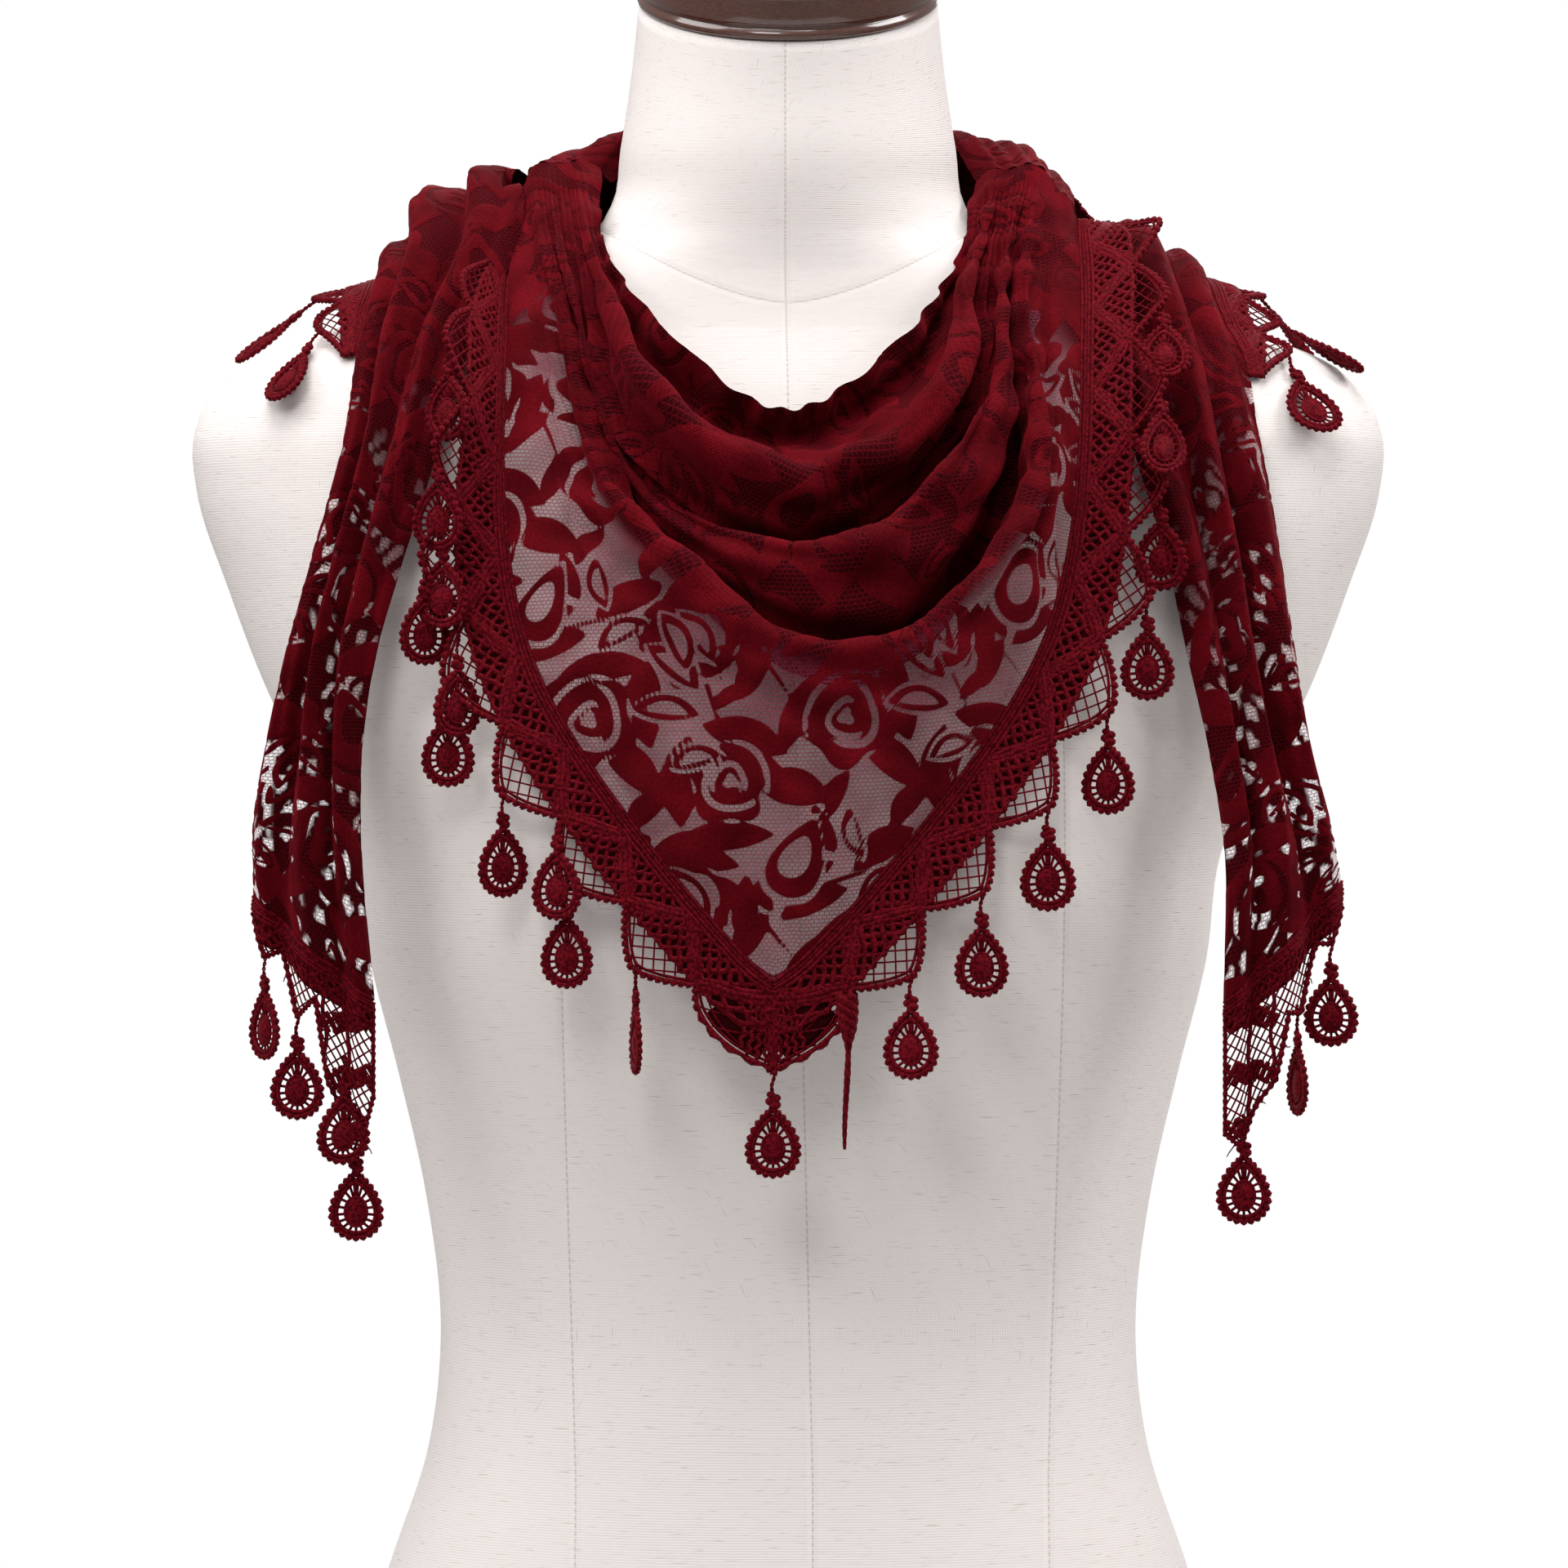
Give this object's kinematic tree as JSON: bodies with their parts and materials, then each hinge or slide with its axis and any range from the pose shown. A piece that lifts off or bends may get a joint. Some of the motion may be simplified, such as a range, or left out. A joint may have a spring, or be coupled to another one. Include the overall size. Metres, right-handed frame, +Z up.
{
  "type": "lace shawl on dress form",
  "caption": "Triangular lace shawl with crocheted scalloped edging and hanging drops, draped as a cowl over a limbless dress form that stands on its flat base.",
  "frame": {"origin": "middle of the dress form's flat base, on the surface it stands on", "axes": "+Z up, -Y towards the front of the form, +X towards the right as seen from the front"},
  "size_m": [0.404, 0.2475, 0.6931],
  "materials": {
    "linen": "matte woven linen",
    "lacquered_wood": "glossy dark lacquer",
    "lace": "matte cotton lace",
    "crochet_edging": "matte crocheted cotton"
  },
  "bodies": {
    "root": {"form_torso": "linen", "form_neck_cap": "lacquered_wood", "shawl_bib": "lace", "shawl_wrap_under": "lace", "shawl_wrap_over": "lace", "shawl_tail_left": "lace", "shawl_tail_right": "lace", "trim_bib_left": "crochet_edging", "trim_bib_right": "crochet_edging", "trim_back_over": "crochet_edging", "trim_back_under": "crochet_edging", "trim_tail_left": "crochet_edging", "trim_tail_right": "crochet_edging"}
  },
  "joints": []
}
